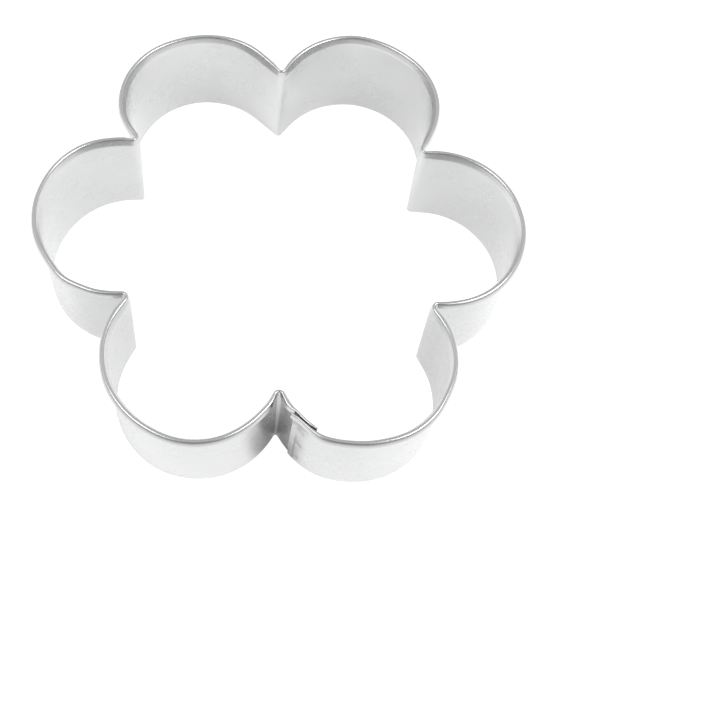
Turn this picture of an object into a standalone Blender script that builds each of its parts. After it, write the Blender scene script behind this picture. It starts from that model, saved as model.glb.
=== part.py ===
"""A flower-shaped biscuit cutter: one tinplate strip with a rolled safe rim along its top
and a plain cutting edge along its foot. It is bent into six round petals, and its ends are
lapped beside the front notch and held by three spot welds.

Metres, Z up. The cutting edge stands on z = 0 and the centre of the whole outline is the
origin. The front, where the strip is joined, faces -Y."""

from math import acos, atan2, cos, hypot, pi, radians, sin

import bmesh
import bpy
import numpy as np
from mathutils import Vector

MM = 0.001

# The sheet and the height of the strip, its rim included.
SHEET = 0.30 * MM
HEIGHT = 25.4 * MM

# The rolled rim: the sheet turns outwards over this mid-sheet radius and back down, and its
# edge closes on the wall again, a little way off it.
CURL_RADIUS = 0.30 * MM
RIM_DEPTH = 2.30 * MM
RIM_EDGE_GAP = 0.10 * MM
CURL_STEPS = 6

# The free foot of the strip springs outwards a little all round, and its last stretch
# above the cutting edge is upright.
FOOT_FLARE = 0.34 * MM
FOOT_UPRIGHT = 1.0 * MM

# The plan, to the middle of the sheet at the rim. The petals run anticlockwise from the one
# to the right of the front notch. Each is an arc with a straight flank before and after it,
# and a small bend, the notch, joins it to the next. A hand press bends each a little
# differently, so each petal has its own radius and centre's reach, given as shares of the
# flower's width over its rim, and its own turn in degrees and flanks. The middle stands a
# little off the origin, which is at the centre of the whole outline.
FLOWER_WIDTH = 92.6 * MM
MIDDLE = (-0.04 * MM, 0.42 * MM)
FIRST_BEARING = -60.0
RADIUS_SHARE = (0.1706, 0.1674, 0.1663, 0.1641, 0.1712, 0.1728)
REACH_SHARE = (0.3321, 0.3251, 0.3245, 0.3256, 0.3207, 0.3261)
PETAL_RADIUS = [FLOWER_WIDTH * share for share in RADIUS_SHARE]
CENTRE_REACH = [FLOWER_WIDTH * share for share in REACH_SHARE]
NOTCH_RADIUS = 1.25 * MM
PETAL_TURN = (-0.3, -0.7, 0.8, 0.2, -1.3, 1.0)
FLANK_BEFORE = (2.0 * MM, 2.0 * MM, 4.0 * MM, 5.6 * MM, 0.4 * MM, 0.4 * MM)
FLANK_AFTER = (0.4 * MM, 2.0 * MM, 2.2 * MM, 0.4 * MM, 2.0 * MM, 0.4 * MM)
PETAL_STEP = radians(8.0)
NOTCH_STEP = radians(13.0)
LEAST_STEP = 0.25 * MM

# The lap. The outer end is cut off just past the front notch, and the inner end runs on
# behind it. Near the rim the outer end stands off to clear the inner end's rolled rim.
END_PAST_NOTCH = 3.8 * MM
LAP_LENGTH = 4.0 * MM
LAP_CLEARANCE = 0.06 * MM
LAP_FADE = 8.0 * MM
LAP_STATION = 1.0 * MM
STAND_OFF_FOOT = SHEET + LAP_CLEARANCE
STAND_OFF_RIM = 2 * CURL_RADIUS + SHEET + LAP_CLEARANCE
STAND_OFF_BELOW_RIM = 0.5 * MM
STAND_OFF_RISE = 3.7 * MM
STAND_OFF_STEPS = 4
STAND_OFF_FULL = HEIGHT - RIM_DEPTH - STAND_OFF_BELOW_RIM
STAND_OFF_FROM = STAND_OFF_FULL - STAND_OFF_RISE

# The spot welds: round nuggets through both layers, left below the surface of each. The
# lower one is near the foot, the upper one just below where the layers part, and the third
# midway.
WELD_RADIUS = 0.95 * MM
WELD_CLEARANCE = 0.04 * MM
WELD_DIMPLE = 0.05 * MM
WELD_PAST_END = 1.7 * MM
WELD_ABOVE_FOOT = 2.8 * MM
WELD_BELOW_STAND_OFF = 1.5 * MM
WELD_NAMES = ("lower", "middle", "upper")
WELD_SIDES = 20
SHARP_FROM = radians(40.0)


def smooth(t):
    """0 before t = 0 and 1 after t = 1, rising along 3t^2 - 2t^3 between."""
    t = np.clip(t, 0.0, 1.0)
    return t * t * (3.0 - 2.0 * t)


def polar(reach, angle):
    return np.array([reach * cos(angle), reach * sin(angle)])


class Plan:
    """The strip's path from above: petal arcs, straight flanks and notch bends in turn.

    Each element holds the distance at which it starts, its length, its first point, and
    its heading and turn per metre, the turn being zero along a flank."""

    def __init__(self):
        count = len(CENTRE_REACH)
        self.petals = [
            MIDDLE + polar(CENTRE_REACH[k], radians(FIRST_BEARING + PETAL_TURN[k] + 360 * k / count))
            for k in range(count)
        ]
        self.notches = [self.notch(k, (k + 1) % count) for k in range(count)]
        self.elements = []
        self.length = 0.0
        for k in range(count):
            into = self.tangent(k, k - 1, -1)
            out = self.tangent(k, k, 1)
            following = self.tangent((k + 1) % count, k, -1)
            flank = FLANK_BEFORE[k]
            self.add(flank, self.on_petal(k, into, -flank), into + pi / 2, 0.0)
            swing = (out - into) % (2 * pi)
            radius = PETAL_RADIUS[k]
            self.add(swing * radius, self.on_petal(k, into), into + pi / 2, 1 / radius)
            self.add(FLANK_AFTER[k], self.on_petal(k, out), out + pi / 2, 0.0)
            bend = (out - following) % (2 * pi)
            start = self.notches[k] - polar(NOTCH_RADIUS, out)
            self.add(bend * NOTCH_RADIUS, start, out + pi / 2, -1 / NOTCH_RADIUS)

    def notch(self, petal, following):
        """The centre of the bend between two petals, which both of their flanks touch."""
        first, second = self.petals[petal], self.petals[following]
        across = second - first
        apart = hypot(*across)
        from_first = hypot(PETAL_RADIUS[petal] + NOTCH_RADIUS, FLANK_AFTER[petal])
        from_second = hypot(PETAL_RADIUS[following] + NOTCH_RADIUS, FLANK_BEFORE[following])
        along = (apart**2 + from_first**2 - from_second**2) / (2 * apart)
        outward = np.array([across[1], -across[0]]) / apart
        return first + across * along / apart + outward * (from_first**2 - along**2) ** 0.5

    def tangent(self, petal, notch, side):
        """The angle round the petal at which the flank to or from the notch touches it."""
        across = self.notches[notch] - self.petals[petal]
        reach = (PETAL_RADIUS[petal] + NOTCH_RADIUS) / hypot(*across)
        return atan2(across[1], across[0]) - side * acos(reach)

    def on_petal(self, petal, angle, along=0.0):
        return self.petals[petal] + polar(PETAL_RADIUS[petal], angle) + polar(along, angle + pi / 2)

    def add(self, length, start, heading, turn):
        self.elements.append((self.length, length, start, heading, turn))
        self.length += length

    def at(self, distance):
        """The point at this distance along the path, and the outward direction there."""
        distance = distance % self.length
        for begin, length, start, heading, turn in self.elements:
            if distance <= begin + length:
                break
        run = distance - begin
        if turn == 0.0:
            point = start + polar(run, heading)
        else:
            centre = start + polar(1 / turn, heading + pi / 2)
            point = centre - polar(1 / turn, heading + pi / 2 + turn * run)
        return point, polar(1.0, heading + turn * run - pi / 2)

    def stations(self, first, last):
        """Where the swept section stands: at each change of curve, round each bend in
        even steps, and closely along the lap."""
        marks = [first, last]
        for lap in (-1, 0, 1):
            for begin, length, _, _, turn in self.elements:
                step = PETAL_STEP if turn > 0 else NOTCH_STEP
                parts = max(1, round(abs(turn) * length / step))
                marks += list(lap * self.length + begin + length * np.arange(parts) / parts)
        for end in (first, last - LAP_LENGTH):
            marks += list(end + np.arange(0.0, LAP_LENGTH + LAP_FADE, LAP_STATION))
        marks = np.unique(np.round([m for m in marks if first <= m <= last], 7))
        clear = (np.diff(marks) >= LEAST_STEP) & (last - marks[1:] >= LEAST_STEP)
        return np.concatenate([marks[:1], marks[1:][clear], marks[-1:]])


def rim_section():
    """The middle of the sheet, from the foot up the wall, over the curl and down to the
    rolled rim's end, as distances (outward, up)."""
    middle = HEIGHT - CURL_RADIUS - SHEET / 2
    points = [(0.0, 0.0), (0.0, FOOT_UPRIGHT)]
    points += [(0.0, z) for z in np.linspace(STAND_OFF_FROM, STAND_OFF_FULL, STAND_OFF_STEPS + 1)]
    for angle in np.linspace(pi, 0.0, CURL_STEPS + 1):
        points.append((CURL_RADIUS * (1 + cos(angle)), middle + CURL_RADIUS * sin(angle)))
    points.append((SHEET + RIM_EDGE_GAP, HEIGHT - RIM_DEPTH))
    return np.array(points).T


def flare(up):
    """How far the wall stands out at this height, from nothing at the top."""
    return FOOT_FLARE * np.minimum(1.0, (HEIGHT - up) / (HEIGHT - FOOT_UPRIGHT))


def stand_off(along, up):
    """How far the outer end stands off the plan at this distance past its cut, so that the
    inner end and its rolled rim fit behind it."""
    fade = 1.0 - smooth((along - LAP_LENGTH - SHEET) / LAP_FADE)
    rise = smooth((up - STAND_OFF_FROM) / (STAND_OFF_FULL - STAND_OFF_FROM))
    return fade * (STAND_OFF_FOOT + (STAND_OFF_RIM - STAND_OFF_FOOT) * rise)


def metal(name, colour, roughness):
    material = bpy.data.materials.new(name)
    material.use_nodes = True
    surface = material.node_tree.nodes["Principled BSDF"]
    surface.inputs["Base Color"].default_value = (*colour, 1.0)
    surface.inputs["Metallic"].default_value = 1.0
    surface.inputs["Roughness"].default_value = roughness
    return material


def new_object(name, mesh, collection, material=None):
    thing = bpy.data.objects.new(name, mesh)
    if material:
        mesh.materials.append(material)
    collection.objects.link(thing)
    return thing


def cutter_band(plan, first, collection):
    """The strip: the middle of its sheet carried along the whole path, as an open surface
    that Solidify gives the sheet's thickness."""
    out, up = rim_section()
    stations = plan.stations(first, first + plan.length + LAP_LENGTH)
    rows = []
    for distance in stations:
        point, outward = plan.at(distance)
        reach = out + flare(up) + stand_off(distance - first, up)
        rows.append(np.column_stack([point + np.outer(reach, outward), up]))
    corner = np.arange(len(rows) * len(up)).reshape(len(rows), len(up))
    faces = np.stack([corner[:-1, :-1], corner[1:, :-1], corner[1:, 1:], corner[:-1, 1:]], axis=-1)
    mesh = bpy.data.meshes.new("cutter_band")
    mesh.from_pydata(np.vstack(rows), [], faces.reshape(-1, 4).tolist())
    mesh.shade_smooth()
    band = new_object(
        "cutter_band", mesh, collection, metal("tinplate", (0.80, 0.81, 0.82), 0.24)
    )
    sheet = band.modifiers.new("sheet", "SOLIDIFY")
    sheet.thickness = SHEET
    sheet.offset = 0.0
    sheet.use_even_offset = True
    sheet.use_quality_normals = True
    return band


def disc(name, centre, axis, radius, thickness, collection, material=None):
    """A round plug, centred there, whose axis lies level."""
    work = bmesh.new()
    bmesh.ops.create_cone(
        work, cap_ends=True, segments=WELD_SIDES, radius1=radius, radius2=radius, depth=thickness
    )
    mesh = bpy.data.meshes.new(name)
    work.to_mesh(mesh)
    work.free()
    mesh.shade_smooth()
    mesh.set_sharp_from_angle(angle=SHARP_FROM)
    thing = new_object(name, mesh, collection, material)
    thing.location = centre
    thing.rotation_euler = Vector((*axis, 0.0)).to_track_quat("Z", "Y").to_euler()
    return thing


def spot_weld(place, height, plan, first, band, pieces, cutters):
    """A nugget through both layers of the lap, and its seat cut in the strip."""
    point, outward = plan.at(first + WELD_PAST_END)
    centre = (*(point + (flare(height) + STAND_OFF_FOOT / 2) * outward), height)
    thickness = SHEET + STAND_OFF_FOOT
    seat = disc(
        f"seat_{place}", centre, outward, WELD_RADIUS + WELD_CLEARANCE, 2 * thickness, cutters
    )
    seat.display_type = "WIRE"
    cut = band.modifiers.new(f"seat_{place}", "BOOLEAN")
    cut.operation = "DIFFERENCE"
    cut.solver = "EXACT"
    cut.object = seat
    nugget = metal(f"weld_{place}", (0.62, 0.62, 0.62), 0.38)
    weld = disc(
        f"spot_weld_{place}", centre, outward, WELD_RADIUS, thickness - 2 * WELD_DIMPLE, pieces, nugget
    )
    weld.parent = band


for thing in list(bpy.data.objects):
    bpy.data.objects.remove(thing, do_unlink=True)

pieces = bpy.data.collections.new("biscuit_cutter")
cutters = bpy.data.collections.new("cutters")
for group in (pieces, cutters):
    bpy.context.scene.collection.children.link(group)
cutters.hide_render = True

plan = Plan()
band = cutter_band(plan, END_PAST_NOTCH, pieces)
heights = np.linspace(WELD_ABOVE_FOOT, STAND_OFF_FROM - WELD_BELOW_STAND_OFF, len(WELD_NAMES))
for place, height in zip(WELD_NAMES, heights):
    spot_weld(place, float(height), plan, END_PAST_NOTCH, band, pieces, cutters)
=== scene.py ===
"""The looks of a flower-shaped biscuit cutter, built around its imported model: one strip of
tinplate with a rolled safe rim, bent into six petals and lapped beside the front notch, where
three spot welds hold it. Metres, Z up. The cutting edge stands on z = 0 and the lap faces -Y."""

import bpy
import numpy as np
from mathutils import Euler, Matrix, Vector


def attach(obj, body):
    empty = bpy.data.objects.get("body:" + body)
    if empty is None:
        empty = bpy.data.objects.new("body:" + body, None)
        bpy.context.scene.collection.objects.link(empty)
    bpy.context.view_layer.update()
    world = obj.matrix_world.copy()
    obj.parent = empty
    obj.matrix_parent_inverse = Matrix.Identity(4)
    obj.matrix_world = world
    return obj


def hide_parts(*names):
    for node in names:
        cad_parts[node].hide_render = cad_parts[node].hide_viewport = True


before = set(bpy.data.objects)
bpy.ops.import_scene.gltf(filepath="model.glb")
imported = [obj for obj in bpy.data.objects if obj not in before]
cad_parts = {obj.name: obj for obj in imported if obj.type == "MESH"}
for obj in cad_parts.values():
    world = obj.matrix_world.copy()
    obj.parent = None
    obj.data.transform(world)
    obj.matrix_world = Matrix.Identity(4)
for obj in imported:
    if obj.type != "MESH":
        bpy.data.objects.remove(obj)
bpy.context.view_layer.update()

# The strip. One length of bright tinned sheet steel, slit from the coil, with its top edge
# rolled over outwards into a safe rim. A hand press has bent it round six pegs, and its outer
# end laps over its inner end, where it stands off a little to clear the rolled rim behind it.
MM = 0.001
SHEET = 0.30 * MM
HEIGHT = 25.4 * MM
CURL_RADIUS = 0.27 * MM
SHOULDER_BEND = 0.6 * MM
SHOULDER = 1.1 * MM
SHOULDER_LEAN = np.radians(20.0)
LEG = 1.15 * MM
LEG_LEAN = np.radians(28.0)
WALL_INSET = 0.48 * MM
FOOT_FLARE = 0.34 * MM
FOOT_UPRIGHT = 1.0 * MM
EDGE_ROUND = 0.05 * MM
EDGE_BLUNT = 0.12

FLOWER_WIDTH = 92.6 * MM
MIDDLE = np.array([-0.04, 0.42]) * MM
FIRST_BEARING = -60.0
PETAL_RADIUS = np.array([0.1706, 0.1674, 0.1663, 0.1641, 0.1712, 0.1728]) * FLOWER_WIDTH
CENTRE_REACH = np.array([0.3321, 0.3251, 0.3245, 0.3256, 0.3207, 0.3261]) * FLOWER_WIDTH
NOTCH_RADIUS = 0.9 * MM
PETAL_TURN = np.array([-0.3, -0.7, 0.8, 0.2, -1.3, 1.0])
FLANK_BEFORE = np.array([2.0, 3.1, 4.6, 6.0, 0.4, 2.4]) * MM
FLANK_AFTER = np.array([2.4, 3.1, 3.2, 0.4, 3.1, 0.4]) * MM
RIM_DRIFT_X = np.array([0.0, 0.0, 0.0, -0.1, 0.0, 0.0]) * MM
RIM_DRIFT_Y = np.array([0.15, 0.0, 0.0, -0.42, -0.1, -0.3]) * MM
RIM_SWELL = np.array([0.4, -0.1, 0.45, 0.5, 0.0, 0.3]) * MM
# Each place where a petal's rim is pressed in or out of line: (petal, the direction that the
# place faces and its spread in degrees, how far it is pressed outwards).
RIM_PRESSED = (
    (0, 285.0, 15.0, -0.22 * MM),
    (0, 335.0, 14.0, -0.3 * MM),
    (2, 60.0, 24.0, -0.42 * MM),
    (3, 58.0, 18.0, 0.28 * MM),
    (3, 112.0, 22.0, -0.2 * MM),
    (3, 175.0, 30.0, 0.12 * MM),
    (4, 125.0, 25.0, 0.45 * MM),
    (4, 212.0, 14.0, -0.2 * MM),
    (4, 234.0, 9.0, 0.3 * MM),
    (5, 236.0, 34.0, -0.32 * MM),
    (5, 324.0, 20.0, -0.3 * MM),
)
DRIFT_FROM = 1.0 * MM
DRIFT_FADE = 6.0 * MM
WAVE_HEIGHT = 0.022 * MM

END_PAST_NOTCH = 3.8 * MM
LAP_LENGTH = 4.8 * MM
LAP_CLEARANCE = 0.06 * MM
LAP_FADE = 8.0 * MM
STAND_OFF_FOOT = SHEET + LAP_CLEARANCE
STAND_OFF_RIM = 0.67 * MM
END_PUSH = 0.16 * MM
LEG_TUCK = 0.16 * MM
END_FLICK = 0.30 * MM
END_FLICK_LENGTH = 1.15 * MM
END_FLICK_RISE = 8.0 * MM
STAND_OFF_FULL = 22.6 * MM
STAND_OFF_FROM = 18.9 * MM

# How the rim's full width is lost: pinched at the notches, pressed behind the lap, tapered at
# the inner end, whose top is crushed down a little, and flattened at the outer end.
NOTCH_PINCH = 0.6
NOTCH_PINCH_LENGTH = 3.0 * MM
PRESSED_BEHIND = 0.57
BEHIND_LAP_LEAD = 0.5 * MM
BEHIND_LAP_FADE = 2.0 * MM
LEG_TUCK_FADE = 0.6 * MM
INNER_TAPER = 0.11
INNER_TAPER_LENGTH = 1.2 * MM
CRUSH = 0.2 * MM
CRUSH_LENGTH = 0.8 * MM
CRUSH_RISE = 3.0 * MM
CRUSH_FROM = 21.0 * MM
OUTER_END_WIDTH = 0.46
OUTER_END_FLAT = 2.2 * MM
OUTER_END_FADE = 4.8 * MM

# The weld dents in both faces of the lap are part of the strip's own skin.
WELD_HEIGHT = {"lower": 2.8 * MM, "middle": 10.1 * MM, "upper": 17.4 * MM}
WELD_PAST_END = 1.7 * MM
DENT_RADIUS = 1.0 * MM
DENT_DEPTH = 0.11 * MM


def unit(angle):
    """The unit vectors at these angles, as (cos, sin)."""
    return np.stack([np.cos(angle), np.sin(angle)], axis=-1)


def smooth(t):
    """0 before t = 0 and 1 after t = 1, rising along 3t^2 - 2t^3 between."""
    t = np.clip(t, 0.0, 1.0)
    return t * t * (3.0 - 2.0 * t)


class BentLine:
    """A line of straight and evenly bent stretches, each with its length and its turn per
    metre. Over a run r of a stretch the heading grows by turn * r, and the point moves by the
    chord r * sinc(turn * r / 2) along the mean heading."""

    def __init__(self, start, heading, lengths, turns):
        self.lengths, self.turns = np.asarray(lengths), np.asarray(turns)
        self.begins = np.concatenate([[0.0], np.cumsum(self.lengths)[:-1]])
        self.length = float(self.lengths.sum())
        bends = self.lengths * self.turns
        self.headings = heading + np.concatenate([[0.0], np.cumsum(bends)[:-1]])
        chords = self.chord(self.lengths, self.headings, self.turns)
        self.starts = np.asarray(start) + np.vstack([np.zeros(2), np.cumsum(chords, axis=0)[:-1]])

    def chord(self, run, heading, turn):
        half = turn * run / 2.0
        return (run * np.sinc(half / np.pi))[..., None] * unit(heading + half)

    def at(self, distance):
        """The points at these distances along the line, and the headings there."""
        part = np.clip(np.searchsorted(self.begins, distance, side="right") - 1, 0, None)
        run = distance - self.begins[part]
        heading, turn = self.headings[part], self.turns[part]
        return self.starts[part] + self.chord(run, heading, turn), heading + turn * run


def flower():
    """The plan of the strip, to the middle of the sheet. Each petal is an arc round its own
    centre, with a straight flank before and after it, and each notch is a bend that both of
    its petals' flanks touch: its centre lies where the circles of radius
    hypot(petal radius + notch radius, flank) round the two petals' centres cross."""
    count = len(CENTRE_REACH)
    bearing = np.radians(FIRST_BEARING + PETAL_TURN + 360.0 / count * np.arange(count))
    petal = MIDDLE + CENTRE_REACH[:, None] * unit(bearing)
    across = np.roll(petal, -1, axis=0) - petal
    apart = np.hypot(*across.T)
    both = PETAL_RADIUS + NOTCH_RADIUS
    reach = np.hypot(both, FLANK_AFTER)
    reach_back = np.roll(np.hypot(both, FLANK_BEFORE), -1)
    along = (apart**2 + reach**2 - reach_back**2) / (2.0 * apart)
    side = np.stack([across[:, 1], -across[:, 0]], axis=-1) / apart[:, None]
    notch = petal + across * (along / apart)[:, None] + side * np.sqrt(reach**2 - along**2)[:, None]

    def touch(centre, notch, sign):
        gap = notch - centre
        return np.arctan2(gap[:, 1], gap[:, 0]) - sign * np.arccos(both / np.hypot(*gap.T))

    into = touch(petal, np.roll(notch, 1, axis=0), -1.0)
    out = touch(petal, notch, 1.0)
    swing = (out - into) % (2.0 * np.pi)
    bend = (out - np.roll(into, -1)) % (2.0 * np.pi)
    flat = np.zeros(count)
    arcs, bends = swing * PETAL_RADIUS, bend * NOTCH_RADIUS
    lengths = np.stack([FLANK_BEFORE, arcs, FLANK_AFTER, bends], axis=1)
    turns = np.stack([flat, flat + 1.0 / PETAL_RADIUS, flat, flat - 1.0 / NOTCH_RADIUS], axis=1)
    heading = into[0] + np.pi / 2.0
    start = petal[0] + PETAL_RADIUS[0] * unit(into[0]) - FLANK_BEFORE[0] * unit(heading)
    return BentLine(start, heading, lengths.ravel(), turns.ravel())


def rolled_section():
    """The middle of the sheet in section, as (outward, up): straight up the wall, outwards up
    a leaning shoulder, over the tight curl, and down a leg that leans outwards less and less.
    The wall's length brings the curl's top to the strip's height."""
    curl = (np.pi - SHOULDER_LEAN - LEG_LEAN) * CURL_RADIUS
    lengths = np.array([0.0, SHOULDER_BEND, SHOULDER, curl, LEG])
    turns = [0.0, -SHOULDER_LEAN / SHOULDER_BEND, 0.0, -1.0 / CURL_RADIUS, -LEG_LEAN / LEG]
    top = SHOULDER_BEND + SHOULDER + (np.pi / 2.0 - SHOULDER_LEAN) * CURL_RADIUS
    without_wall = BentLine((0.0, 0.0), np.pi / 2.0, lengths, turns)
    lengths[0] = HEIGHT - SHEET / 2.0 - without_wall.at(top)[0][1]
    return BentLine((0.0, 0.0), np.pi / 2.0, lengths, turns)


plan = flower()
section = rolled_section()
first = END_PAST_NOTCH
last = first + plan.length + LAP_LENGTH
bend_from, shoulder_from, curl_from, leg_from = section.begins[1:]

# Each petal has four stretches: a flank, an arc, a flank and a notch's bend.
STRETCHES = 4
NOTCH_STRETCH = 3
notch_middles = (plan.begins + plan.lengths / 2.0)[NOTCH_STRETCH::STRETCHES]


def past_notch(along):
    """The distance along the strip from the nearest notch's middle."""
    gaps = (np.asarray(along)[..., None] - notch_middles) % plan.length
    return np.minimum(gaps, plan.length - gaps).min(axis=-1)


def stand_off(along, up):
    """How far the outer end stands off the plan: least at the foot, more near the rim, and
    fading to nothing past the lap."""
    fade = 1.0 - smooth((along - first - LAP_LENGTH - SHEET) / LAP_FADE)
    rise = smooth((up - STAND_OFF_FROM) / (STAND_OFF_FULL - STAND_OFF_FROM))
    return fade * (STAND_OFF_FOOT + (STAND_OFF_RIM - STAND_OFF_FOOT) * rise)


def behind_lap(along):
    """1 where the strip lies behind its own outer end, fading to 0 before the lap."""
    return 1.0 - smooth((last - along - LAP_LENGTH + BEHIND_LAP_LEAD) / BEHIND_LAP_FADE)


def squeeze(along):
    """The share of the rim's full width: pinched where a notch is bent, pressed flat behind the
    lap and tapered at the inner end, and pressed less and less from the outer end on."""
    notch = NOTCH_PINCH + (1.0 - NOTCH_PINCH) * smooth(past_notch(along) / NOTCH_PINCH_LENGTH)
    taper = INNER_TAPER * (1.0 - smooth((last - along) / INNER_TAPER_LENGTH))
    inner = 1.0 - PRESSED_BEHIND * behind_lap(along) - taper
    outer = smooth((along - first - OUTER_END_FLAT) / OUTER_END_FADE)
    return notch * inner * (OUTER_END_WIDTH + (1.0 - OUTER_END_WIDTH) * outer)


def drift(along, up, outward):
    """How far the rim of each petal has been pushed out of line with its foot: odd and even
    powers of the outward direction's x and y, plus a bell exp(-(a / spread)^2) of the angle a
    from each pressed place, all fading at the notches."""
    part = np.searchsorted(plan.begins, along % plan.length, side="right") - 1
    petal = np.clip(part, 0, None) // STRETCHES
    push = RIM_DRIFT_X[petal] * outward[..., 0] + RIM_DRIFT_Y[petal] * outward[..., 1] ** 5
    push = push + RIM_SWELL[petal] * outward[..., 0] ** 4
    facing = np.degrees(np.arctan2(outward[..., 1], outward[..., 0]))
    for where, bearing, spread, outwards in RIM_PRESSED:
        apart = (facing - bearing + 180.0) % 360.0 - 180.0
        push = push + outwards * np.exp(-((apart / spread) ** 2)) * (petal == where)
    return push * up / HEIGHT * smooth((past_notch(along) - DRIFT_FROM) / DRIFT_FADE)


def waviness(along, up):
    """The unevenness of a hand press, a few hundredths of a millimetre: three slow waves along
    the strip, whole numbers of them round the flower, whose phases drift with height."""
    turn = 2.0 * np.pi * along / plan.length
    climb = up / HEIGHT
    wave = np.sin(11.0 * turn + 2.1 * climb) + 0.7 * np.sin(23.0 * turn - 3.3 * climb + 1.0)
    return WAVE_HEIGHT * (wave + 0.5 * np.sin(41.0 * turn + 5.0 * climb + 2.0))


def weld_dent(along, up):
    """The electrodes' dents at this place of the lap, on either layer, as a depth: a bowl
    exp(-(d / r)^4) deep at a distance d from each weld."""
    past = np.where(along - first > plan.length, along - first - plan.length, along - first)
    dent = 0.0
    for height in WELD_HEIGHT.values():
        distance = np.hypot(past - WELD_PAST_END, up - height)
        dent = dent + DENT_DEPTH * np.exp(-((distance / DENT_RADIUS) ** 4))
    return dent


def edge_round(distance):
    """The share of the sheet's thickness that is left this far from a sheared edge."""
    near = np.clip(distance / EDGE_ROUND, 0.0, 1.0)
    return np.sqrt(np.clip(1.0 - (1.0 - near) ** 2, EDGE_BLUNT, 1.0))


def strip_skin(along, run, side):
    """The strip's skin at a distance along the flower, a distance up its section, and on the
    inner (-1) or outer (1) side of the sheet. The middle of the sheet is the plan's point plus
    the outward direction times the sum of the section's squeezed outward part, the flare, the
    stand-off, the waviness, the drift, the tuck of the leg behind the lap, the push of the
    inner end and the flick of the outer one; half a sheet's thickness lies to either side of
    it along the section's own normal."""
    ground, heading = plan.at(along % plan.length)
    outward = unit(heading - np.pi / 2.0)
    middle, rise = section.at(run)
    level = middle[..., 1]
    edges = edge_round(np.minimum(run, section.length - run))
    ends = edge_round(np.minimum(along - first, last - along))
    half = side * SHEET / 2.0 * edges * ends
    on_outer_end = (along < first + plan.length / 2.0) & (side > 0)
    on_inner_end = (along > first + plan.length / 2.0) & (side < 0)
    on_wall = run < STAND_OFF_FROM
    half = half - side * weld_dent(along, level) * (on_outer_end | on_inner_end) * on_wall
    normal = unit(rise - np.pi / 2.0)
    flare = FOOT_FLARE * np.minimum(1.0, (HEIGHT - level) / (HEIGHT - FOOT_UPRIGHT))
    inset = WALL_INSET * (1.0 - (HEIGHT - level) / HEIGHT)
    reach = middle[..., 0] * squeeze(along) - inset + half * normal[..., 0] + flare
    reach = reach + stand_off(along, level) + waviness(along % plan.length, level)
    reach = reach + drift(along, level, outward)
    down_leg = smooth((run - leg_from) / LEG_TUCK_FADE)
    reach = reach - LEG_TUCK * behind_lap(along) * down_leg
    reach = reach + END_PUSH * smooth((along - last + LAP_LENGTH) / LAP_LENGTH) * level / HEIGHT
    flick = END_FLICK * np.clip(1.0 - (along - first) / END_FLICK_LENGTH, 0.0, 1.0)
    reach = reach + flick * smooth(level / END_FLICK_RISE)
    crushed = CRUSH * (1.0 - smooth((last - along) / CRUSH_LENGTH))
    up = level - crushed * smooth((level - CRUSH_FROM) / CRUSH_RISE) + half * normal[..., 1]
    return np.concatenate([ground + reach[..., None] * outward, up[..., None]], axis=-1)


def spaced(start, stop, step):
    """Evenly spaced from start to stop, about a step apart, without the stop."""
    return np.linspace(start, stop, max(1, int(np.ceil((stop - start) / step))), endpoint=False)


def rounded_edge():
    """Distances from a sheared edge at which its rounding and the flat beside it are drawn."""
    rounding = EDGE_ROUND * (1.0 - np.cos(np.radians([0, 30, 60, 90])))
    return np.concatenate([rounding, [2.5 * EDGE_ROUND]])


# How close together the skin's points are set, along the strip and up its section.
LEAST_GAP = 0.004 * MM
PLAIN_STEP = 1.0 * MM
NOTCH_STEP = 0.13 * MM
LAP_FADE_STEP = 0.6 * MM
LAP_STEP = 0.22 * MM
FLICK_STEP = 0.08 * MM
FLICK_SPAN = 1.45 * MM
CUT_MARGIN = 0.2 * MM
WALL_STEP = 2.0 * MM
STAND_OFF_STEP = 0.6 * MM
STAND_OFF_MARGIN = 0.3 * MM
ABOVE_WELD = 2.8 * MM
DENT_MARKS = np.linspace(-1.3, 1.3, 10) * MM


def sorted_marks(marks):
    """These distances in order, without any that nearly repeats the one before it."""
    marks = np.unique(np.round(marks, 8))
    return marks[np.concatenate([[True], np.diff(marks) > LEAST_GAP])]


def strip_stations():
    """Distances along the strip: about 1 mm apart, closer round each notch's bend and at the
    welds, and closest at the two sheared ends."""
    marks = []
    for lap in (0, 1):
        for begin, length, turn in zip(plan.begins, plan.lengths, plan.turns):
            step = NOTCH_STEP if turn < 0.0 else PLAIN_STEP
            marks.append(lap * plan.length + spaced(begin, begin + length, step))
    marks.append(first + spaced(LAP_LENGTH, LAP_LENGTH + LAP_FADE, LAP_FADE_STEP))
    marks = np.concatenate(marks)
    lap_span = (marks < first + LAP_LENGTH) | (marks > last - LAP_LENGTH)
    marks = marks[~lap_span]
    near_cut = spaced(CUT_MARGIN, FLICK_SPAN, FLICK_STEP)
    lap_marks = np.concatenate([near_cut, spaced(FLICK_SPAN, LAP_LENGTH - CUT_MARGIN, LAP_STEP)])
    marks = np.concatenate([marks, first + lap_marks, last - LAP_LENGTH + lap_marks])
    marks = np.concatenate([marks, first + rounded_edge(), last - rounded_edge()])
    return sorted_marks(marks)


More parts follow.
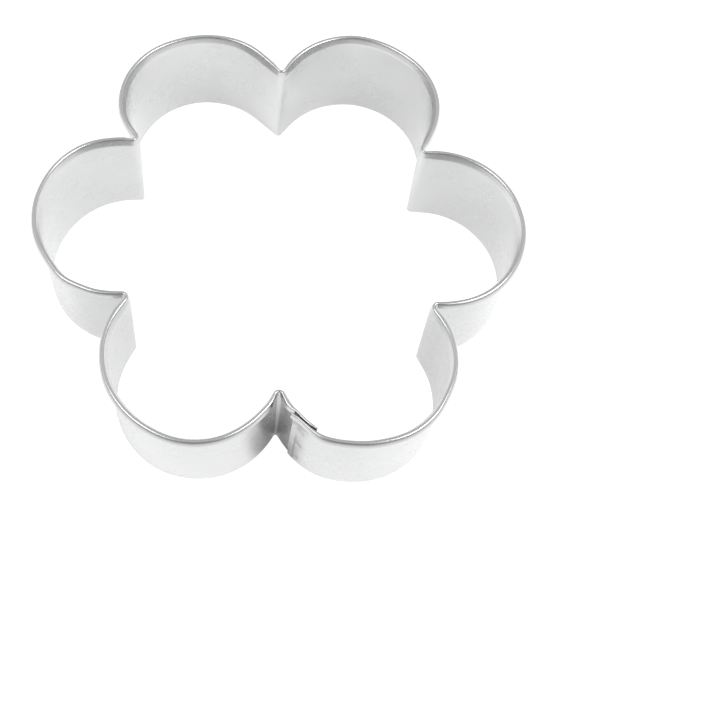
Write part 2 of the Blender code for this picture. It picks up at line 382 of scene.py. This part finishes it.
def section_runs():
    """Distances up the section: close at the sheared edges, across the welds, round the curl
    and down the leg."""
    runs = [rounded_edge(), section.length - rounded_edge(), [0.5 * MM, FOOT_UPRIGHT]]
    for height in WELD_HEIGHT.values():
        runs.append(height + DENT_MARKS)
    for lower, upper in (("lower", "middle"), ("middle", "upper")):
        start, stop = WELD_HEIGHT[lower] + ABOVE_WELD, WELD_HEIGHT[upper] - WALL_STEP
        runs.append(spaced(start, stop, WALL_STEP))
    runs.append(spaced(STAND_OFF_FROM + STAND_OFF_MARGIN, STAND_OFF_FULL, STAND_OFF_STEP))
    runs.append(np.linspace(STAND_OFF_FULL, bend_from, 3))
    runs.append(np.linspace(bend_from, shoulder_from, 6))
    runs.append(np.linspace(shoulder_from, curl_from, 4))
    runs.append(np.linspace(curl_from, leg_from, 13))
    runs.append(np.linspace(leg_from, section.length, 9)[:-1])
    return sorted_marks(np.concatenate(runs))


def skin_object(name, points, *faces):
    """A mesh object at the origin from these points and arrays of faces, shaded smooth."""
    mesh = bpy.data.meshes.new(name)
    mesh.from_pydata(points.reshape(-1, 3), [], [face for kind in faces for face in kind.tolist()])
    mesh.shade_smooth()
    thing = bpy.data.objects.new(name, mesh)
    bpy.context.scene.collection.objects.link(thing)
    return thing


along = strip_stations()[:, None]
runs = section_runs()
run = np.concatenate([runs, runs[::-1]])[None, :]
side = np.repeat([-1.0, 1.0], len(runs))[None, :]
points = strip_skin(along, run, side)
rows, columns = points.shape[:2]
corner = np.arange(rows * columns).reshape(rows, columns)
beside = np.roll(corner, -1, axis=1)
skin = np.stack([corner[:-1], beside[:-1], beside[1:], corner[1:]], axis=-1).reshape(-1, 4)
half_way = len(runs) - 1
there, back = np.arange(half_way), columns - 1 - np.arange(half_way)
front_cap = np.stack([there, back, back - 1, there + 1], axis=-1)
end_cap = corner[-1, 0] + np.stack([there, there + 1, back - 1, back], axis=-1)
strip = skin_object("tinplate_strip", points, skin, front_cap, end_cap)


# The finish: bright tin with the mill's faint lengthwise lines, a soft mottling, dull bare steel
# on the sheared edges, tarnish round the welds and a dark line of painted shade along the crease
# where the outer end is flicked.
class Wire:
    """One output socket of a material's nodes. Sums and products of wires and numbers add Math
    nodes."""

    def __init__(self, tree, socket=None):
        self.tree = tree
        self.socket = socket

    def node(self, kind, settings=None, inputs=None, output=0):
        """Adds a node of this type, sets it up, then gives its inputs their values or links."""
        made = self.tree.nodes.new(kind)
        for name, value in (settings or {}).items():
            setattr(made, name, value)
        for name, value in (inputs or {}).items():
            if isinstance(value, Wire):
                self.tree.links.new(value.socket, made.inputs[name])
            else:
                made.inputs[name].default_value = value
        return Wire(self.tree, made.outputs[output])

    def maths(self, operation, *values):
        return self.node("ShaderNodeMath", {"operation": operation}, dict(enumerate(values)))

    def __add__(self, other):
        return self.maths("ADD", self, other)

    def __mul__(self, other):
        return self.maths("MULTIPLY", self, other)

    __radd__ = __add__
    __rmul__ = __mul__

    def between(self, low, high):
        """0 where this is below low, 1 where it is above high, and smooth between them."""
        ends = {"Value": self, "From Min": low, "From Max": high}
        return self.node("ShaderNodeMapRange", {"interpolation_type": "SMOOTHSTEP"}, ends)

    def blend(self, first, second):
        """The first colour where this is 0 and the second where it is 1."""
        colours = {0: self, 6: first, 7: second}
        return self.node("ShaderNodeMix", {"data_type": "RGBA"}, colours, output=2)

    def part(self, axis):
        """The x, y or z of a vector, as axis 0, 1 or 2."""
        return self.node("ShaderNodeSeparateXYZ", {}, {"Vector": self}, output=axis)

    def distance(self, spot):
        """How far a vector lies from this spot."""
        ends = {0: self, 1: spot}
        return self.node("ShaderNodeVectorMath", {"operation": "DISTANCE"}, ends, output=1)

    def noise(self, where, scale, stretch=(1.0, 1.0, 1.0), detail=2.0):
        """Noise of about this many grains to the metre, stretched along each axis."""
        grains = tuple(scale / s for s in stretch)
        placed = self.node("ShaderNodeMapping", {}, {"Vector": where, "Scale": grains})
        looks = {"Vector": placed, "Scale": 1.0, "Detail": detail}
        return self.node("ShaderNodeTexNoise", {}, looks)

    def attribute(self, name):
        return self.node("ShaderNodeAttribute", {"attribute_name": name}, output=2)

    def finish(self, colour, roughness, bump, depth):
        """The metal itself: this colour and roughness, with the bump's height at full depth."""
        shader = self.tree.nodes["Principled BSDF"]
        shader.inputs["Metallic"].default_value = 1.0
        self.tree.links.new(colour.socket, shader.inputs["Base Color"])
        self.tree.links.new(roughness.socket, shader.inputs["Roughness"])
        relief = {"Height": bump, "Strength": 1.0, "Distance": depth}
        raised = self.node("ShaderNodeBump", {}, relief)
        self.tree.links.new(raised.socket, shader.inputs["Normal"])


def new_finish(name):
    material = bpy.data.materials.new(name)
    material.use_nodes = True
    return material, Wire(material.node_tree)


def grey(tone):
    return (tone, tone, tone, 1.0)


TIN = (0.53, 0.532, 0.534, 1.0)
TIN_DULL = (0.515, 0.517, 0.519, 1.0)
BARE_STEEL = grey(0.44)
# Painted shade: the dark line along the crease where the outer end is flicked.
CREASE_SHADE = grey(0.22)
TARNISH_RADIUS = 1.5 * MM
CREASE_WIDTH = 0.15 * MM
CREASE_FADE = 9.0 * MM
SHEARED_BAND = 1.2 * EDGE_ROUND
TIN_ROUGHNESS = 0.24
# Grains to the metre in each pattern of the tin, and how far the mill drew its lines out.
MILL_LINE_GRAINS = 7000.0
MILL_LINE_STRETCH = (220.0, 1.0, 1.0)
MOTTLE_GRAINS = 260.0
CLOUD_GRAINS = 60.0
MILL_LINE_DEPTH = 0.0005 * MM


def tinplate():
    material, make = new_finish("tinplate")
    place = make.node("ShaderNodeTexCoord", output=3)
    sheet = make.node("ShaderNodeUVMap", {"uv_map": "sheet"})
    rolled = make.noise(sheet, MILL_LINE_GRAINS, MILL_LINE_STRETCH, 3.0)
    mottle = make.noise(place, MOTTLE_GRAINS, detail=3.0)
    cloud = make.noise(place, CLOUD_GRAINS, detail=1.0)
    tarnish = make.attribute("tarnish")
    sheared = make.attribute("sheared")
    dull = (0.5 * mottle + 0.5 * cloud).between(0.35, 0.7)
    colour = dull.blend(TIN, TIN_DULL)
    colour = (0.75 * tarnish).blend(colour, BARE_STEEL)
    colour = (0.8 * sheared).blend(colour, BARE_STEEL)
    # Painted shade: a dark line along the crease where the outer end is flicked.
    colour = make.attribute("crease_shade").blend(colour, CREASE_SHADE)
    roughness = TIN_ROUGHNESS + 0.03 * rolled + 0.03 * dull + 0.10 * tarnish + 0.15 * sheared
    make.finish(colour, roughness, rolled + 0.5 * mottle, MILL_LINE_DEPTH)
    return material


def share(thing, name, values):
    """Keeps one number for each point of a mesh as an attribute that its material reads."""
    layer = thing.data.attributes.new(name, "FLOAT", "POINT")
    layer.data.foreach_set("value", np.asarray(values, dtype=np.float32).ravel())


def lay_flat(thing, across, up):
    """The sheet as it was before it was bent, in metres along and up, as a UV map."""
    corners = np.zeros(len(thing.data.loops), dtype=np.int32)
    thing.data.loops.foreach_get("vertex_index", corners)
    flat = np.stack([across.ravel()[corners], up.ravel()[corners]], axis=-1)
    thing.data.uv_layers.new(name="sheet").data.foreach_set("uv", flat.ravel().astype(np.float32))


every_along, every_run, every_side = np.broadcast_arrays(along, run, side)
lay_flat(strip, every_along, every_run)
level = section.at(every_run)[0][..., 1]
from_first = every_along - first
on_inner_lap = every_along > last - LAP_LENGTH
past = np.where(on_inner_lap, every_along - first - plan.length, from_first)
heat = 0.0
for height in WELD_HEIGHT.values():
    weld_gap = np.hypot(past - WELD_PAST_END, level - height)
    heat = heat + np.exp(-((weld_gap / TARNISH_RADIUS) ** 2))
share(strip, "tarnish", heat)
long_edge = np.minimum(every_run, section.length - every_run)
short_edge = np.minimum(from_first, last - every_along)
edge_gap = np.minimum(long_edge, short_edge)
share(strip, "sheared", 1.0 - smooth(edge_gap / SHEARED_BAND))
# The crease's painted shade fades away between CREASE_FADE and twice that height.
crease_shade_mask = np.exp(-(((from_first - END_FLICK_LENGTH) / CREASE_WIDTH) ** 2)) * (every_side > 0)
share(strip, "crease_shade", crease_shade_mask * smooth(2.0 - every_run / CREASE_FADE))
strip.data.materials.append(tinplate())
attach(strip, "root")
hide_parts("cutter_band")

# The spot welds. Each is a nugget of the two layers' own steel, fused between a pair of
# electrodes and left a little duller and greyer than the tin, with a faint ring round it.
WELD_RADIUS = 0.95 * MM
WELD_PROUD = 0.012 * MM
WELD_TURNS = 48
RING_HEIGHT = 0.012 * MM
RING_SHARE = 0.78
RING_WIDTH = 0.12
CHAMFER_SHARE = 0.9
CHAMFER_DEPTH = 0.03 * MM
WELD_LIGHT = grey(0.50)
WELD_BURNT = grey(0.36)
WELD_ROUGHNESS = 0.3
WELD_GRAINS = 2600.0
BURNT_GRAINS = 900.0
WELD_GRAIN_DEPTH = 0.01 * MM


def weld_disc(height):
    """A nugget through both layers as a turned piece. At a radius r its faces stand a hair proud
    of the dents' floors, with a low ring exp(-((r / R - 0.78) / 0.12)^2) and a chamfered edge.
    Gives the rings of points, front face first, then the middle points of the two faces."""
    ground, heading = plan.at(np.array([first + WELD_PAST_END]))
    outward, sideways = unit(heading - np.pi / 2.0)[0], unit(heading)[0]
    flare = FOOT_FLARE * min(1.0, (HEIGHT - height) / (HEIGHT - FOOT_UPRIGHT))
    flare = flare - WALL_INSET * height / HEIGHT
    middle = ground[0] + outward * (flare + waviness(first + WELD_PAST_END, height))
    part = np.concatenate([np.linspace(0.0, CHAMFER_SHARE, 10), [0.96, 1.0]])
    ring = RING_HEIGHT * np.exp(-(((part - RING_SHARE) / RING_WIDTH) ** 2))
    sunk = DENT_DEPTH * np.exp(-((part * WELD_RADIUS / DENT_RADIUS) ** 4)) - WELD_PROUD - ring
    chamfer = np.clip(part - CHAMFER_SHARE, 0.0, None) / (1.0 - CHAMFER_SHARE)
    sunk = sunk + CHAMFER_DEPTH * chamfer
    proud = stand_off(first + WELD_PAST_END, height) + SHEET / 2.0
    depth = np.concatenate([proud - sunk, (sunk - SHEET / 2.0)[::-1]])
    reach = WELD_RADIUS * np.concatenate([part, part[::-1]])
    angle = np.linspace(0.0, 2.0 * np.pi, WELD_TURNS, endpoint=False)[:, None]
    ground = middle + sideways * (reach * np.cos(angle))[..., None] + outward * depth[:, None]
    points = np.concatenate([ground, (height + reach * np.sin(angle))[..., None]], axis=-1)
    return np.vstack([points[:, 1:-1].reshape(-1, 3), points[0, 0], points[0, -1]])


def weld_metal(place):
    material, make = new_finish(f"weld_{place}")
    where = make.node("ShaderNodeTexCoord", output=3)
    grain = make.noise(where, WELD_GRAINS, detail=3.0)
    burnt = make.noise(where, BURNT_GRAINS).between(0.35, 0.65)
    colour = burnt.blend(WELD_LIGHT, WELD_BURNT)
    make.finish(colour, WELD_ROUGHNESS + 0.15 * grain, grain, WELD_GRAIN_DEPTH)
    return material


for place, height in WELD_HEIGHT.items():
    points = weld_disc(height)
    spots = (len(points) - 2) // WELD_TURNS
    corner = np.arange(WELD_TURNS * spots).reshape(WELD_TURNS, spots)
    following = np.roll(corner, -1, axis=0)
    rings = np.stack([corner[:, :-1], corner[:, 1:], following[:, 1:], following[:, :-1]], axis=-1)
    front_pole = np.full(WELD_TURNS, len(points) - 2)
    front = np.stack([front_pole, corner[:, 0], following[:, 0]], axis=-1)
    back = np.stack([front_pole + 1, following[:, -1], corner[:, -1]], axis=-1)
    weld = skin_object(f"weld_nugget_{place}", points, rings.reshape(-1, 4), front, back)
    weld.data.materials.append(weld_metal(place))
    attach(weld, "root")
    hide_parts(f"spot_weld_{place}")

# The picture: white paper for a floor, two soft boxes and a soft pale room round them, seen
# from above and in front. The camera sees the paper as plain white. The metal sees paper that
# the lamps and the room light and that also glows by itself, both dimmer away from the flower.
FLOOR_SIDE = 3.0
FLOOR_BELOW = 0.02 * MM
FLOOR_NARROWING = 0.85
BRIGHTEST = (0.0, 0.016, 0.0)
DIMS_FROM = 0.03
DIMMEST_AT = 0.18
FLOOR_WHITE = grey(0.80)
FLOOR_GLOW = grey(0.62)
FAR_WHITE = grey(0.2)
FAR_GLOW = grey(0.15)
SEEN_WHITE = 1.15
# The glow casts no shadow, so the round shades listed here take from it what the cutter's walls
# might keep off the paper: (middle, radius at which a shade starts to clear, radius at which it
# is clear, share of the glow left in its middle).
SHADES = (
    ((0.0002, -0.0370, 0.0), 0.0014, 0.0056, 0.0),
    ((-0.0165, -0.024, 0.0), 0.0145, 0.018, 0.76),
    ((0.0165, -0.024, 0.0), 0.0145, 0.018, 0.78),
    ((0.006, 0.031, 0.0), 0.003, 0.010, 0.5),
)

floor_mesh = bpy.data.meshes.new("floor")
floor_corners = np.array([[-1, -1], [1, -1], [1, 1], [-1, 1]]) * FLOOR_SIDE / 2.0
floor_points = np.column_stack([floor_corners, np.full(4, -FLOOR_BELOW)])
floor_mesh.from_pydata(floor_points, [], [(0, 1, 2, 3)])
floor = bpy.data.objects.new("floor", floor_mesh)
bpy.context.scene.collection.objects.link(floor)
paper = bpy.data.materials.new("white_paper")
paper.use_nodes = True
sheet_paper = Wire(paper.node_tree)
place = sheet_paper.node("ShaderNodeTexCoord", output=3)
narrowing = {"Vector": place, "Scale": (FLOOR_NARROWING, 1.0, 1.0)}
narrowed = sheet_paper.node("ShaderNodeMapping", {}, narrowing)
far = narrowed.distance(BRIGHTEST).between(DIMS_FROM, DIMMEST_AT)
white = far.blend(FLOOR_WHITE, FAR_WHITE)
lustre = far.blend(FLOOR_GLOW, FAR_GLOW)
for middle, near, clear, left in SHADES:
    unshaded = left + (1.0 - left) * place.distance(middle).between(near, clear)
    lustre = unshaded.blend(grey(0.0), lustre)
diffuse = sheet_paper.node("ShaderNodeBsdfDiffuse", {}, {"Color": white})
plain = sheet_paper.node("ShaderNodeEmission", {}, {"Color": grey(1.0), "Strength": SEEN_WHITE})
seen = sheet_paper.node("ShaderNodeLightPath")
glow = sheet_paper.node("ShaderNodeEmission", {}, {"Color": lustre, "Strength": 1.0})
lit = sheet_paper.node("ShaderNodeAddShader", {}, {0: diffuse, 1: glow})
surface = sheet_paper.node("ShaderNodeMixShader", {}, {0: seen, 1: lit, 2: plain})
output = paper.node_tree.nodes["Material Output"]
paper.node_tree.links.new(surface.socket, output.inputs["Surface"])
floor_mesh.materials.append(paper)

# The room is paler behind than in front, and brightest high up on both sides. Each pair is
# where a change begins and ends, in the x, z or y of the direction looked in.
ROOM_BESIDE = (0.15, 0.60)
ROOM_HIGH = (0.0, 0.45)
ROOM_BEHIND = (-0.75, 0.05)
ROOM_FRONT = grey(0.38)
ROOM_BACK = grey(0.76)
ROOM_SIDES = grey(1.02)
world = bpy.data.worlds.new("pale_room")
bpy.context.scene.world = world
world.use_nodes = True
room = Wire(world.node_tree)
direction = room.node("ShaderNodeTexCoord", output=0)
beside = room.maths("ABSOLUTE", direction.part(0)).between(*ROOM_BESIDE)
window = beside * direction.part(2).between(*ROOM_HIGH)
behind = direction.part(1).between(*ROOM_BEHIND)
glow = window.blend(behind.blend(ROOM_FRONT, ROOM_BACK), ROOM_SIDES)
world.node_tree.links.new(glow.socket, world.node_tree.nodes["Background"].inputs["Color"])

SOFT_BOX = (0.45, 0.40)
LAMPS = (("left", (-0.5, -0.25, 0.70), 1.95), ("right", (0.5, -0.25, 0.70), 3.5))
for side_name, place, power in LAMPS:
    lamp = bpy.data.lights.new(f"soft_box_{side_name}", "AREA")
    lamp.shape = "RECTANGLE"
    lamp.size, lamp.size_y = SOFT_BOX
    lamp.energy = power
    box = bpy.data.objects.new(lamp.name, lamp)
    box.location = place
    box.rotation_euler = (-Vector(place)).to_track_quat("-Z", "Y").to_euler()
    bpy.context.scene.collection.objects.link(box)

CAMERA_PLACE = (-4.74 * MM, -98.27 * MM, 220.1 * MM)
CAMERA_TILT = np.radians(25.02)
CAMERA_LEAN = np.radians(-1.78)
CAMERA_TURN = np.radians(0.60)
CAMERA_SHIFT = (0.109, -0.143)
LENS_MM = 58.43
SENSOR_MM = 36.0
NEAREST_SEEN = 0.01
camera_data = bpy.data.cameras.new("camera")
camera_data.sensor_width = SENSOR_MM
camera_data.lens = LENS_MM
camera_data.shift_x, camera_data.shift_y = CAMERA_SHIFT
camera_data.clip_start = NEAREST_SEEN
camera = bpy.data.objects.new("camera", camera_data)
camera.location = CAMERA_PLACE
camera.rotation_euler = Euler((CAMERA_TILT, CAMERA_LEAN, CAMERA_TURN))
bpy.context.scene.collection.objects.link(camera)
bpy.context.scene.camera = camera
bpy.context.scene.view_settings.view_transform = "Standard"
